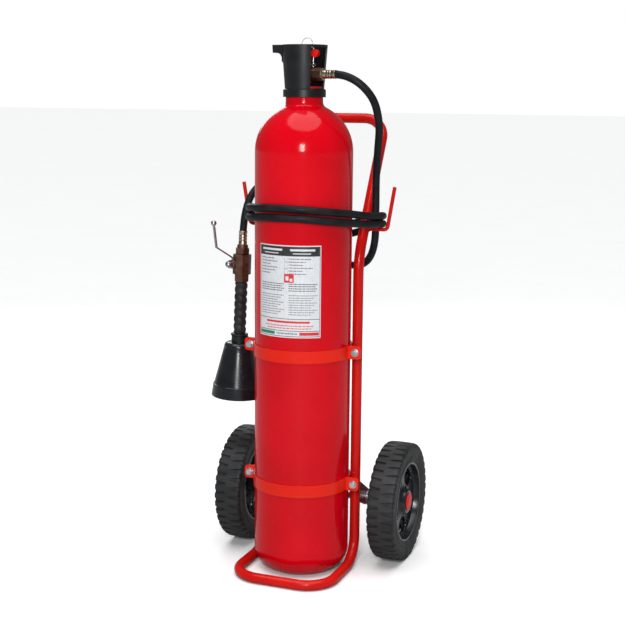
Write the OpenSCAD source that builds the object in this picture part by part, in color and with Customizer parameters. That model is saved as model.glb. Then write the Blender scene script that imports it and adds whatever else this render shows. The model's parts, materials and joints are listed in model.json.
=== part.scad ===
// Wheeled carbon dioxide fire extinguisher: a steel cylinder strapped to a bent-tube trolley.
// Millimetres, +Z up. The origin is on the floor, under the cylinder's axis; -Y is the front.

/* [Cylinder] */
// Outer radius of the gas cylinder
cyl_r = 102; // [100:0.5:103]
// Height of the centre of the domed shoulder
shoulder_z = 897; // [880:1:900]
// Wall thickness of the cylinder
cyl_wall = 6; // [4:0.5:8]
// Radius of the rounded edge at the cylinder's foot
foot_r = 48; // [40:1:50]
// Height of the top of the neck
neck_z = 1009; // [1009:1:1010]
// Radius of the neck
neck_r = 38.5; // [36:0.5:38.5]

/* [Trolley frame] */
// Outer radius of the frame tube
tube_r = 11; // [10:0.5:11]
// Wall thickness of the frame tube
tube_wall = 2; // [1.5:0.5:3]
// Sideways distance of each rail from the middle
rail_x = 107; // [106:0.5:108]
// Distance of the upright rails behind the cylinder's axis
rail_y = 46; // [45:0.5:48]
// Angle at which the rails lean back above the bend
lean_angle = 30.5; // [28:0.5:32]
// Height at which the rails begin to bend back
bend_z = 636.8; // [634:0.1:640]
// Length from the end of that bend to the middle of the handle bar
lean_length = 291; // [285:1:300]
// Distance of the front bar of the base in front of the axis
base_front = 140; // [138:1:145]

/* [Wheels] */
// Outer radius of the tyre
wheel_r = 130; // [126:1:130]
// Width of the tyre
wheel_w = 60; // [56:1:60]
// Sideways distance of the middle of each wheel
wheel_x = 179; // [178:1:182]
// Distance of the axle behind the cylinder's axis
axle_y = 123; // [122:1:126]
// Radius of the axle
axle_r = 10; // [8:0.5:10]

/* [Hose and lance] */
// Outer radius of the discharge hose
hose_r = 8; // [7:0.5:8]
// Tilt of the hanging lance from upright
lance_tilt = 2.3; // [1:0.1:3]
// Mouth radius of the discharge horn
horn_mouth_r = 58; // [54:1:58]

/* [Hidden] */
$fn = 96;
fit_gap = 0.05;

// Colours
red_paint = [0.80, 0.03, 0.04];
band_paint = [0.86, 0.10, 0.05];
dark_red = [0.35, 0.03, 0.03];
black_plastic = [0.06, 0.06, 0.07];
rubber = [0.10, 0.10, 0.10];
brass = [0.72, 0.56, 0.30];
bronze = [0.42, 0.27, 0.17];
chrome = [0.80, 0.80, 0.82];
zinc = [0.66, 0.67, 0.68];
white_film = [0.92, 0.92, 0.92];

// ---------- shared shapes ----------

// A hexagonal prism along Z, measured across its flats
module hex_prism(across_flats, height) {
    cylinder(r = across_flats / sqrt(3), h = height, $fn = 6);
}

// A ring with a square section
module sleeve(outer_r, inner_r, height) {
    difference() {
        cylinder(r = outer_r, h = height);
        translate([0, 0, -1]) cylinder(r = inner_r, h = height + 2);
    }
}

// A ring with a round section, lying flat
module torus(centre_r, wire_r) {
    rotate_extrude() translate([centre_r, 0]) circle(r = wire_r, $fn = 32);
}

// A bend of frame tube in the XZ plane: it starts at the origin going +Z and turns to -X
module tube_bend(centre_r, angle) {
    translate([-centre_r, 0, 0]) rotate([90, 0, 0]) rotate_extrude(angle = angle)
        translate([centre_r, 0]) tube_section();
}

module tube_section() {
    difference() {
        circle(r = tube_r, $fn = 48);
        circle(r = tube_r - tube_wall, $fn = 48);
    }
}

// A straight length of frame tube along +Z
module frame_tube(length) {
    linear_extrude(length) tube_section();
}

// Turns a child from +Z to lie along the direction of a polar angle, seen from above
module along_polar(angle) {
    rotate([0, 0, angle]) rotate([0, 90, 0]) children();
}

// ---------- cylinder and valve ----------

shank_r = 14.5;
outlet_angle = -12;
outlet_z = 1055;
valve_r = 16;
valve_top = 1072;
seat_z = 1044;
chamber_r = 8;
stem_r = 2.5;
pivot_x = 8;
pivot_z = 1097;
lever_half = 6;
stem_top = 1090.9;
pin_x = 19;
pin_r = 2;

// Half outline of the cylinder, its wall moved in by a given amount
module cylinder_outline(inset) {
    r = cyl_r - inset;
    corner = foot_r - inset;
    fillet_r = 12;
    fillet_x = neck_r + fillet_r;
    fillet_z = shoulder_z + sqrt(pow(r + fillet_r, 2) - fillet_x * fillet_x);
    touch_x = r * fillet_x / (r + fillet_r);
    touch_z = shoulder_z + r * (fillet_z - shoulder_z) / (r + fillet_r);
    translate([0, foot_r]) square([r, shoulder_z - foot_r]);
    translate([0, inset]) square([cyl_r - foot_r, shoulder_z - inset]);
    translate([cyl_r - foot_r, foot_r]) circle(r = corner);
    intersection() {
        translate([0, shoulder_z]) circle(r = r);
        translate([0, shoulder_z]) square([r, r]);
    }
    if (inset == 0) {
        translate([0, shoulder_z + 60]) square([neck_r, neck_z - shoulder_z - 60]);
        difference() {
            polygon([
                [neck_r - 4, fillet_z - 16],
                [touch_x, touch_z],
                [neck_r, fillet_z],
                [neck_r - 4, fillet_z]
            ]);
            translate([fillet_x, fillet_z]) circle(r = fillet_r);
        }
    }
}

module cylinder_shell() {
    color(red_paint) difference() {
        rotate_extrude() cylinder_outline(0);
        rotate_extrude() cylinder_outline(cyl_wall);
        translate([0, 0, shoulder_z]) cylinder(r = shank_r + 0.1, h = 200);
    }
}

// Threaded ring on the neck, with a narrower rim that shows inside the guard's window
module neck_ring() {
    color(red_paint) translate([0, 0, neck_z]) difference() {
        union() {
            cylinder(r = 38.9, h = 14.9);
            cylinder(r = 37, h = 21.5);
        }
        translate([0, 0, -1]) cylinder(r = 22, h = 20);
        translate([0, 0, 14.9]) cylinder(r = 26, h = 10);
    }
}

module dip_tube() {
    color(chrome) translate([0, 0, 24]) sleeve(7, 5.5, 961);
}

module valve_body() {
    color(bronze) difference() {
        union() {
            translate([0, 0, 975]) cylinder(r = shank_r, h = neck_z - 975);
            translate([0, 0, neck_z]) hex_prism(36, 12);
            translate([0, 0, neck_z]) cylinder(r = valve_r, h = valve_top - neck_z);
        }
        translate([0, 0, 974]) cylinder(r = 7.05, h = 11);
        translate([0, 0, 980]) cylinder(r = 5, h = 40);
        translate([0, 0, 1014]) cylinder(r = chamber_r, h = seat_z - 1014);
        translate([0, 0, 1040]) cylinder(r = 4, h = 12);
        translate([0, 0, seat_z + 3]) cylinder(r = chamber_r, h = 22);
        translate([0, 0, 1060]) cylinder(r = 5.05, h = 20);
        translate([0, 0, outlet_z]) along_polar(outlet_angle) cylinder(r = 5, h = 20);
        translate([0, 0, 1032]) along_polar(140) cylinder(r = 4.05, h = 20);
    }
}

module gland_nut() {
    color(brass) difference() {
        union() {
            translate([0, 0, 1066]) cylinder(r = 5, h = 12);
            translate([0, 0, 1076.1]) hex_prism(12, 8);
        }
        translate([0, 0, 1060]) cylinder(r = stem_r + fit_gap, h = 40);
    }
}

// Fork that carries the operating lever, with a shelf under its tail for the safety pin
module lever_bracket() {
    color(brass) difference() {
        union() {
            translate([0, 0, valve_top]) cylinder(r = 15, h = 4);
            translate([0, -7, valve_top]) cube([27, 14, 4]);
            for (side = [-1, 1]) translate([0, side * 8, 0]) {
                translate([pivot_x - 5, -1.6, valve_top]) cube([10, 3.2, pivot_z - valve_top]);
                translate([pivot_x, 1.6, pivot_z]) rotate([90, 0, 0]) cylinder(r = 5, h = 3.2);
            }
        }
        translate([0, 0, 1060]) cylinder(r = 5.05, h = 40);
        translate([pin_x, 0, 1060]) cylinder(r = pin_r + 0.1, h = 20);
        translate([pivot_x, 20, pivot_z]) rotate([90, 0, 0]) cylinder(r = 2.5 + fit_gap, h = 40);
    }
}

module lever_pivot_pin() {
    color(chrome) translate([pivot_x, 10.5, pivot_z]) rotate([90, 0, 0]) {
        cylinder(r = 2.5, h = 21);
        cylinder(r = 4, h = 0.8);
        translate([0, 0, 20.2]) cylinder(r = 4, h = 0.8);
    }
}

// The slot in its tail lets the lever turn while the pin stays upright
module operating_lever() {
    tail_x = 23;
    end_x = -29;
    color("red") difference() {
        union() {
            translate([tail_x, lever_half, pivot_z]) rotate([90, 0, 0])
                cylinder(r = 8, h = 2 * lever_half);
            translate([end_x, -lever_half, pivot_z - 6]) cube([tail_x - end_x, 2 * lever_half, 12]);
            translate([end_x, lever_half, pivot_z]) rotate([90, 0, 0])
                cylinder(r = 6, h = 2 * lever_half);
        }
        translate([pivot_x, 20, pivot_z]) rotate([90, 0, 0]) cylinder(r = 2.5 + fit_gap, h = 40);
        translate([13.6, -pin_r - 0.2, pivot_z - 20]) cube([12, 2 * pin_r + 0.4, 40]);
    }
}

module valve_stem() {
    color(chrome) {
        translate([0, 0, 1038]) cylinder(r = stem_r, h = stem_top - 1038);
        translate([0, 0, 1038]) cylinder(r = 6, h = 3);
    }
}

module poppet_seal() {
    color(black_plastic) translate([0, 0, 1041]) sleeve(6, stem_r, 2.9);
}

// A round wire wound into a helix about Z
module valve_spring() {
    turns = 4;
    steps = 10 * turns;
    low = 1015.1;
    high = 1037;
    route = [for (i = [0:steps]) [
        5.6 * cos(360 * turns * i / steps), 5.6 * sin(360 * turns * i / steps),
        low + (high - low) * i / steps
    ]];
    color(chrome) swept_tube(route, 0.9, 6);
}

module burst_disc_plug() {
    color(brass) translate([0, 0, 1032]) along_polar(140) {
        translate([0, 0, 9]) cylinder(r = 4, h = 7.2);
        translate([0, 0, valve_r + 0.1]) hex_prism(13, 7);
    }
}

// Retaining pin, pulled straight up out of the lever and its shelf
module safety_pin() {
    color(chrome) {
        translate([pin_x, 0, 1069]) cylinder(r = pin_r, h = 40, $fn = 32);
        translate(ring_point) rotate([0, 35, 0]) torus(2.9, 0.9);
    }
}

ring_centre = [5.5, 0, 1116.5];
ring_r = 11.5;
ring_point = ring_centre + ring_r * [cos(-35), 0, sin(-35)];

module pull_ring() {
    color(chrome) translate(ring_centre) rotate([90, 0, 0]) torus(ring_r, 1);
}

// Open-topped guard around the valve, with a side window and a beak to hold
module valve_guard() {
    guard_top = 1114;
    color(black_plastic) difference() {
        union() {
            rotate_extrude() polygon([
                [30, neck_z], [44, neck_z], [44, neck_z + 15], [40.5, neck_z + 17],
                [47, guard_top], [30, guard_top]
            ]);
            rotate([90, 0, 180]) linear_extrude(34, center = true) guard_beak(guard_top);
        }
        rotate_extrude() polygon([
            [0, neck_z - 1], [39, neck_z - 1], [39, neck_z + 15], [37.5, neck_z + 15.5],
            [44, guard_top + 0.1], [44, guard_top + 1], [0, guard_top + 1]
        ]);
        guard_window(guard_top);
    }
}

// Side view of the beak: a flat lip on a hollow curve
module guard_beak(top) {
    difference() {
        polygon([
            [30, top - 36], [42, top - 36], [46, top - 28], [56, top - 16], [64, top - 16],
            [65, top], [30, top]
        ]);
        translate([56, top - 28]) circle(r = 12);
    }
}

module guard_window(top) {
    window_from = -52;
    window_to = 12;
    translate([0, 0, neck_z + 18]) rotate([0, 0, window_from])
        rotate_extrude(angle = window_to - window_from) translate([20, 0])
            square([40, top - neck_z - 23]);
}

module outlet_adapter() {
    color(bronze) difference() {
        translate([0, 0, outlet_z]) along_polar(outlet_angle) difference() {
            union() {
                translate([0, 0, 12]) cylinder(r = 9, h = 10);
                translate([0, 0, 20]) hex_prism(23, 22);
            }
            translate([0, 0, 10]) cylinder(r = 4.5, h = 40);
        }
        translate([0, 0, outlet_z - 30]) cylinder(r = valve_r, h = 60);
    }
}

module hose_nut() {
    color(brass) translate([0, 0, outlet_z]) along_polar(outlet_angle) translate([0, 0, 42]) difference() {
        hex_prism(22, 5);
        translate([0, 0, -1]) cylinder(r = 4.5, h = 10);
    }
}

module hose_ferrule_top() {
    color(brass) translate([0, 0, outlet_z]) along_polar(outlet_angle) translate([0, 0, 47])
        sleeve(9, 4.5, 29.6);
}

// ---------- hose ----------

// The hose leaves the valve, drops behind the right hook, makes two turns around
// the cylinder and the hooks, and comes over the left side to the lance.
hose_route = [
    // out of the valve and down behind the right hook
    [75, -16, 1055], [107, -19, 1049], [134, -13, 1030], [150, 1, 1004], [154, 17, 974],
    [152, 34, 945], [145, 50, 917], [138, 66, 888], [132, 80, 859], [128, 90, 828],
    [127, 94, 796], [127, 94, 760], [127, 95, 720], [122, 99, 692], [111, 108, 668],
    // across the back and up onto the left hook
    [92, 122, 653], [66, 138, 647], [34, 150, 647], [0, 155, 651], [-35, 156, 660],
    [-72, 151, 678], [-106, 138, 703], [-132, 113, 729], [-143, 80, 749.5], [-139, 43, 757],
    // lower strand across the front to the right hook
    [-125, 3, 759], [-108, -37, 761], [-80.5, -80.5, 765], [-43.5, -105, 769], [0, -113.5, 770],
    [43.5, -105, 769], [80.5, -80.5, 764], [108, -37, 758], [125, 3, 753], [140, 43, 749],
    // across the back to the left hook again
    [146, 80, 747.5], [143.5, 97, 746], [136, 115, 743], [108, 143, 735], [70, 154, 720],
    [35, 156, 711], [0, 156, 709], [-35, 155, 715], [-70, 152, 727], [-107, 141, 742],
    [-133, 114, 757], [-143, 80, 768], [-139, 43, 775],
    // upper strand across the front
    [-125, 3, 778], [-108, -37, 781], [-80.5, -80.5, 785], [-43.5, -105, 788], [0, -113.5, 789],
    [43.5, -105, 787], [80.5, -80.5, 783], [108, -37, 777], [125, 3, 771], [140, 43, 766],
    // across the back, up, over and down to the lance
    [146, 80, 764.3], [143.5, 97, 762.5], [136, 115, 760], [108, 143, 753], [70, 154, 741],
    [35, 156, 735], [0, 155, 737], [-33, 156, 747], [-61, 165, 762], [-84, 171, 785],
    [-106, 162, 808], [-126, 141, 822], [-141, 112, 823], [-151, 86, 808], [-158, 68, 781],
    [-163, 61, 751], [-166, 60, 720]
];

function unit(v) = v / norm(v);

// The directions along a route, and side vectors carried along it without twist
function directions(route) = let (n = len(route))
    [for (i = [0:n - 1]) unit(route[min(i + 1, n - 1)] - route[max(i - 1, 0)])];
function carried(dirs, i, side) = i == len(dirs) ? [] :
    let (next = unit(side - (side * dirs[i]) * dirs[i])) concat([next], carried(dirs, i + 1, next));

// A closed tube swept along a list of points
module swept_tube(route, radius, sides) {
    n = len(route);
    dirs = directions(route);
    first_side = abs(dirs[0][2]) < 0.9 ? [0, 0, 1] : [1, 0, 0];
    side_vectors = carried(dirs, 0, first_side);
    points = [for (i = [0:n - 1], k = [0:sides - 1])
        let (angle = 360 * k / sides, u = side_vectors[i], v = cross(dirs[i], u))
        route[i] + radius * (cos(angle) * u + sin(angle) * v)];
    walls = [for (i = [0:n - 2], k = [0:sides - 1])
        let (next = (k + 1) % sides)
        [i * sides + k, (i + 1) * sides + k, (i + 1) * sides + next, i * sides + next]];
    start_cap = [for (k = [0:sides - 1]) k];
    end_cap = [for (k = [sides - 1:-1:0]) (n - 1) * sides + k];
    polyhedron(points, concat([start_cap], walls, [end_cap]));
}

module hose() {
    color(rubber) swept_tube(hose_route, hose_r, 10);
}

// ---------- lance ----------

lance_top = [-166, 60, 720];
stem_drop = 74;
stem_turn = 48;

// The lance hangs from its top end, leaning away from the cylinder at the bottom
module on_lance(drop = 0) {
    translate(lance_top) rotate([0, lance_tilt, 0]) translate([0, 0, -drop]) children();
}

// The shut-off valve is screwed on so that its stem points out to the front left, along -X here
module on_valve() {
    on_lance(stem_drop) rotate([0, 0, stem_turn]) children();
}

module hose_ferrule_end() {
    color(brass) on_lance(31) sleeve(9.3, 4.5, 31);
}

module shutoff_inlet_nut() {
    color(bronze) on_lance(52) difference() {
        union() {
            hex_prism(28, 14);
            translate([0, 0, 14]) cylinder(r = 12, h = 7);
        }
        translate([0, 0, -1]) cylinder(r = 4.5, h = 30);
    }
}

// Ball valve body: an eight-sided block with a boss for the stem
module shutoff_body() {
    across = 37;
    color(bronze) on_valve() difference() {
        union() {
            translate([0, 0, -22]) rotate([0, 0, 22.5])
                cylinder(r = across / 2 / cos(22.5), h = 44, $fn = 8);
            rotate([0, -90, 0]) cylinder(r = 9, h = 21);
        }
        sphere(r = 11.3);
        translate([0, 0, -30]) cylinder(r = 6, h = 60);
        for (end = [-1, 1]) translate([0, 0, end * 10.5]) cylinder(r = 9, h = 3, center = true);
        rotate([0, -90, 0]) cylinder(r = 4 + fit_gap, h = 30);
    }
}

module shutoff_outlet_nut() {
    color(bronze) on_lance(113) difference() {
        hex_prism(29, 17);
        translate([0, 0, -1]) cylinder(r = 6, h = 30);
    }
}

// Plastic seats above and below the ball
module ball_seats() {
    color(white_film) on_lance(stem_drop) difference() {
        for (end = [-1, 1]) translate([0, 0, end * 10.5]) cylinder(r = 8.9, h = 2.8, center = true);
        sphere(r = 11 + fit_gap);
        translate([0, 0, -30]) cylinder(r = 6, h = 60);
    }
}

module shutoff_ball() {
    color(chrome) on_valve() difference() {
        union() {
            sphere(r = 11);
            rotate([0, -90, 0]) cylinder(r = 4, h = 34);
        }
        translate([0, 0, -30]) cylinder(r = 6, h = 60);
    }
}

lever_elbow = [-62, 38];
lever_tip = [-69, 83];

// Bent flat lever on the ball's stem
module shutoff_lever() {
    lever_w = 8;
    plate = 3;
    low_elbow = [-22.7, 14];
    color(chrome) on_valve() {
        difference() {
            union() {
                translate([-24.2, 0, 0]) rotate([0, 90, 0]) cylinder(r = 10, h = plate);
                translate([-24.2, -lever_w / 2, 0]) cube([plate, lever_w, low_elbow[1]]);
            }
            rotate([0, -90, 0]) cylinder(r = 4, h = 40);
        }
        flat_link(low_elbow, lever_elbow, lever_w, plate);
        flat_link(lever_elbow, lever_tip, lever_w, plate);
        translate([lever_tip[0], 0, lever_tip[1]]) rotate([0, -7.5, 0]) cylinder(r = 2.4, h = 6, $fn = 32);
    }
}

// A flat bar between two points of the XZ plane, with slightly fuller round ends
module flat_link(from, to, width, thick) {
    run = to - from;
    translate([from[0], 0, from[1]]) rotate([0, atan2(run[0], run[1]), 0])
        translate([-thick / 2, -width / 2, 0]) cube([thick, width, norm(run)]);
    for (end = [from, to]) translate([end[0], width / 2 + 0.2, end[1]]) rotate([90, 0, 0])
        cylinder(r = thick / 2 + 0.2, h = width + 0.4, $fn = 32);
}

module lever_knob() {
    color(chrome) on_valve() translate([lever_tip[0], 0, lever_tip[1]]) rotate([0, -7.5, 0])
        difference() {
            translate([0, 0, 8]) sphere(r = 6.25);
            cylinder(r = 2.45, h = 6.1, $fn = 32);
            cylinder(r = 8, h = 3.4, center = true);
        }
}

module lever_cap_nut() {
    color(chrome) on_valve() rotate([0, -90, 0]) difference() {
        union() {
            translate([0, 0, 24.3]) hex_prism(16, 8);
            translate([0, 0, 32.3]) intersection() {
                sphere(r = 7.2);
                cylinder(r = 8, h = 8);
            }
        }
        cylinder(r = 4 + fit_gap, h = 34.1);
    }
}

// Ribbed rubber grip over the lance tube
module lance_grip() {
    length = 116;
    ribs = 7;
    steps = 8 * ribs;
    color(rubber) on_lance(113 + length) difference() {
        rotate_extrude() polygon(concat(
            [[5, 0]],
            [for (i = [0:steps]) [12.4 + 1.8 * abs(sin(180 * ribs * i / steps)), length * i / steps]],
            [[5, length]]
        ));
        translate([0, 0, -1]) cylinder(r = 6, h = length + 2);
    }
}

module orifice_plug() {
    color(brass) on_lance(246) sleeve(8.9, 2.5, 16);
}

module horn_collar() {
    color(black_plastic) on_lance(249) difference() {
        union() {
            cylinder(r = 17.5, h = 20);
            translate([0, 0, 15]) cylinder(r = 19.5, h = 4);
        }
        translate([0, 0, -1]) cylinder(r = 9, h = 20);
        translate([0, 0, 18]) cylinder(r = 6, h = 3);
    }
}

// Bell-shaped horn, open downwards
module discharge_horn() {
    height = 122;
    shoulder_r = 33;
    wall = 3;
    ridge_z = 26;
    ridge_r = horn_mouth_r - 3;
    color(black_plastic) on_lance(249 + height) rotate_extrude() difference() {
        union() {
            polygon([
                [0, 0], [horn_mouth_r, 0], [ridge_r, ridge_z], [ridge_r - 1.5, ridge_z + 2],
                [shoulder_r, height - 9], [0, height - 9]
            ]);
            translate([0, height - 10]) square([shoulder_r - 9, 10]);
            intersection() {
                translate([shoulder_r - 9, height - 9]) circle(r = 9);
                square([shoulder_r, height]);
            }
        }
        polygon([
            [0, -1], [horn_mouth_r - wall, -1], [ridge_r - wall - 1, ridge_z],
            [shoulder_r - wall, height - 12], [shoulder_r - 12, height - 4], [0, height - 4]
        ]);
        square([7, height + 1]);
    }
}

// Spring clip that holds the horn's collar to the left rail
module horn_holder() {
    clip_drop = 246;
    clip_r = 17.6;
    arm_angle = -11.5;
    color(black_plastic) difference() {
        on_lance(clip_drop) {
            rotate([0, 0, -45]) rotate_extrude(angle = 215) translate([clip_r, 0]) square([2.4, 10]);
            rotate([0, 0, arm_angle]) translate([clip_r + 1, -1.5, 0]) cube([54, 3, 10]);
        }
        translate([-rail_x, rail_y, 300]) cylinder(r = tube_r, h = 400);
    }
}

// ---------- trolley frame ----------

bend_r = 150;
corner_r = 50;
foot_bend_r = 55;
front_bend_r = 62;

// Frame that starts where the bend ends, with +Z up the leaning part of the rails
module leaning() {
    translate([0, rail_y + bend_r, bend_z]) rotate([-lean_angle, 0, 0])
        translate([0, -bend_r, 0]) children();
}

module rail() {
    straight_from = tube_r + foot_bend_r;
    translate([rail_x, rail_y, straight_from]) frame_tube(bend_z - straight_from);
    translate([rail_x, rail_y, bend_z]) rotate([0, 0, -90]) tube_bend(bend_r, lean_angle);
}

module rail_right() {
    color(red_paint) rail();
}

module rail_left() {
    color(red_paint) mirror([1, 0, 0]) rail();
}

// Leaning loop on top of the rails, which ends in the bar that a hand pulls
module handle_loop() {
    color(red_paint) leaning() {
        for (side = [0, 1]) mirror([side, 0, 0]) {
            translate([rail_x, 0, 0]) frame_tube(lean_length - corner_r);
            translate([rail_x, 0, lean_length - corner_r]) tube_bend(corner_r, 90);
        }
        translate([corner_r - rail_x, 0, lean_length]) rotate([0, 90, 0])
            frame_tube(2 * (rail_x - corner_r));
    }
}

module base_loop() {
    side_back = rail_y - foot_bend_r;
    side_front = front_bend_r - base_front;
    color(red_paint) {
        for (side = [0, 1]) mirror([side, 0, 0]) {
            translate([rail_x, rail_y, tube_r + foot_bend_r]) rotate([0, 0, 90]) rotate([180, 0, 0])
                tube_bend(foot_bend_r, 90);
            translate([rail_x, side_back, tube_r]) rotate([90, 0, 0]) frame_tube(side_back - side_front);
            translate([rail_x, side_front, tube_r]) rotate([90, 0, 0]) tube_bend(front_bend_r, 90);
        }
        translate([front_bend_r - rail_x, -base_front, tube_r]) rotate([0, 90, 0])
            frame_tube(2 * (rail_x - front_bend_r));
    }
}

// Plates welded behind the rails, which carry the axle
module axle_plates() {
    plate = 5;
    color(dark_red) difference() {
        for (side = [-1, 1]) translate([side * rail_x - plate / 2, 0, 0])
            rotate([90, 0, 90]) linear_extrude(plate) {
                polygon([
                    [rail_y + 6, 142], [axle_y - 10, 114], [axle_y + 12, wheel_r + 13], [rail_y + 6, 192]
                ]);
                translate([axle_y, wheel_r]) circle(r = 17);
            }
        for (side = [-1, 1]) translate([side * rail_x, rail_y, 100]) cylinder(r = tube_r, h = 120);
        translate([-150, axle_y, wheel_r]) rotate([0, 90, 0]) cylinder(r = axle_r, h = 300);
    }
}

axle_end = wheel_x + 24;

module axle() {
    color(zinc) translate([-axle_end, axle_y, wheel_r]) rotate([0, 90, 0])
        cylinder(r = axle_r, h = 2 * axle_end);
}

module axle_spacers() {
    from = rail_x + 2.6;
    to = wheel_x - 28.5;
    color(zinc) for (side = [-1, 1]) at_wheel(side) translate([0, 0, from - wheel_x])
        sleeve(14, axle_r, to - from);
}

module axle_washers() {
    color(zinc) for (side = [-1, 1]) at_wheel(side) translate([0, 0, 20.5]) sleeve(15, axle_r, 2);
}

saddle_z = [483.3, 197];
band_h = 26;
band_from = 102.2;
bolt_x = 120;

// Ear of a band or a saddle: a plate with round outer corners, standing in the XZ plane
module ear(thick) {
    ear_h = 28;
    corner = 7;
    tip = bolt_x + 12;
    translate([0, thick, 0]) rotate([90, 0, 0]) linear_extrude(thick) difference() {
        union() {
            translate([band_from + 0.3, -ear_h / 2]) square([tip - corner - band_from - 0.3, ear_h]);
            translate([band_from + 0.3, corner - ear_h / 2])
                square([tip - band_from - 0.3, ear_h - 2 * corner]);
            for (end = [-1, 1]) translate([tip - corner, end * (ear_h / 2 - corner)]) circle(r = corner);
        }
        translate([bolt_x, 0]) circle(r = 4.2);
    }
}

// Half ring around the cylinder with two ears; the split lies at y = -3.5
module half_clamp(height, thick, ear_y, from_angle, turn) {
    rotate([0, 0, from_angle]) rotate_extrude(angle = turn) translate([band_from, -height / 2])
        square([thick, height]);
    for (side = [0, 1]) mirror([side, 0, 0]) translate([0, ear_y, 0]) ear(3);
}

module saddle(height_z) {
    color(red_paint) translate([0, 0, height_z]) half_clamp(band_h, 3.2, -3.4, -1.9, 183.8);
}

module band(height_z) {
    color(band_paint) translate([0, 0, height_z]) half_clamp(band_h, 2.6, -6.6, 182.05, 175.9);
}

module saddle_upper() {
    saddle(saddle_z[0]);
}

module saddle_lower() {
    saddle(saddle_z[1]);
}

module band_upper() {
    band(saddle_z[0]);
}

module band_lower() {
    band(saddle_z[1]);
}

// Places a child at each bolt, with +Z towards the back
module at_each_bolt() {
    for (z = saddle_z, side = [-1, 1]) translate([side * bolt_x, 0, z]) rotate([-90, 0, 0]) children();
}

module band_bolts() {
    color(zinc) at_each_bolt() {
        translate([0, 0, -13.5]) hex_prism(13, 5.3);
        translate([0, 0, -8.2]) cylinder(r = 4, h = 18);
    }
}

module band_washers() {
    color(zinc) at_each_bolt() translate([0, 0, -8.2]) sleeve(8.5, 4, 1.6);
}

module band_nuts() {
    color(zinc) at_each_bolt() translate([0, 0, -0.4]) difference() {
        hex_prism(13, 6.5);
        translate([0, 0, -1]) cylinder(r = 4, h = 10);
    }
}

hook_z = 735;
hook_rod_r = 4;

// A round rod through a list of points, with elbows a little fuller than the rod
module bent_rod(points, radius) {
    for (i = [0:len(points) - 2]) {
        run = points[i + 1] - points[i];
        translate(points[i]) rotate([0, atan2(run[0], run[2]), 0])
            cylinder(r = radius, h = norm(run), $fn = 48);
        if (i > 0) translate(points[i]) sphere(r = radius + 0.3, $fn = 48);
    }
}

// Bent rod that holds the hose, welded to the side of the leaning rail
module hose_hook() {
    above_bend = hook_z - bend_z - bend_r * sin(lean_angle);
    hook_y = rail_y + bend_r * (1 - cos(lean_angle)) + above_bend * tan(lean_angle);
    difference() {
        translate([0, hook_y, hook_z])
            bent_rod([[rail_x + 4, 0, 0], [155, 0, 0], [160, 0, 5], [173, 0, 90]], hook_rod_r);
        leaning() translate([rail_x, 0, -10]) cylinder(r = tube_r, h = 200);
    }
}

module hose_hook_right() {
    color(red_paint) hose_hook();
}

module hose_hook_left() {
    color(red_paint) mirror([1, 0, 0]) hose_hook();
}

module label() {
    label_half_angle = 39.9;
    label_turn = 2.7;
    label_from = 524;
    label_h = 190;
    color(white_film) translate([0, 0, label_from]) rotate([0, 0, label_turn - 90 - label_half_angle])
        rotate_extrude(angle = 2 * label_half_angle) translate([cyl_r + 0.02, 0]) square([0.3, label_h]);
}

// ---------- wheels ----------

rim_r = 88;
hub_r = 24;

// Frame of one wheel: the origin is its centre and +Z points outwards
module at_wheel(side) {
    translate([side * wheel_x, axle_y, wheel_r]) rotate([0, side * 90, 0]) children();
}

module tyre(side) {
    corner = 6;
    color(rubber) at_wheel(side) rotate_extrude() {
        translate([rim_r + fit_gap, -wheel_w / 2]) square([wheel_r - corner - rim_r - fit_gap, wheel_w]);
        translate([rim_r + 10, corner - wheel_w / 2]) square([wheel_r - rim_r - 10, wheel_w - 2 * corner]);
        for (end = [-1, 1]) translate([wheel_r - corner, end * (wheel_w / 2 - corner)]) circle(r = corner);
    }
}

// Moulded rim: a barrel, a hub and a dished web with five windows
module rim(side) {
    barrel = 5;
    half = 27;
    web = 7;
    color(black_plastic) at_wheel(side) difference() {
        union() {
            translate([0, 0, -half]) sleeve(rim_r, rim_r - barrel, 2 * half);
            translate([0, 0, 6]) cylinder(r = rim_r - 1, h = web);
            translate([0, 0, -28]) cylinder(r = hub_r, h = 54);
            for (k = [0:4]) rotate([0, 0, 72 * k + 36]) translate([hub_r - 2, -3, -12])
                cube([rim_r - hub_r, 6, 20]);
        }
        for (k = [0:4]) rotate([0, 0, 72 * k]) translate([0, 0, 5]) linear_extrude(web + 2) rim_window();
        translate([0, 0, -30]) cylinder(r = 16, h = 60);
    }
}

// Window between two spokes: a slice of a ring with straight flanks
module rim_window() {
    flank = 24;
    intersection() {
        difference() {
            circle(r = 74);
            circle(r = 38);
        }
        polygon([
            [12, 0], [90 * cos(flank) + 12, 90 * sin(flank)], [90 * cos(flank) + 12, -90 * sin(flank)]
        ]);
    }
}

module bush(side) {
    color(zinc) at_wheel(side) translate([0, 0, -28]) sleeve(15.95, axle_r + fit_gap, 48);
}

module hub_cap(side) {
    cap_r = 19.5;
    color("red") at_wheel(side) {
        translate([0, 0, 26]) cylinder(r = cap_r, h = 2.4);
        translate([0, 0, 26]) intersection() {
            translate([0, 0, -36]) sphere(r = 40);
            cylinder(r = 15, h = 10);
        }
        translate([0, 0, 24.5]) cylinder(r = 15.9, h = 2);
    }
}

module tyre_left() {
    tyre(-1);
}

module tyre_right() {
    tyre(1);
}

module rim_left() {
    rim(-1);
}

module rim_right() {
    rim(1);
}

module bush_left() {
    bush(-1);
}

module bush_right() {
    bush(1);
}

module hub_cap_left() {
    hub_cap(-1);
}

module hub_cap_right() {
    hub_cap(1);
}

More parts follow.
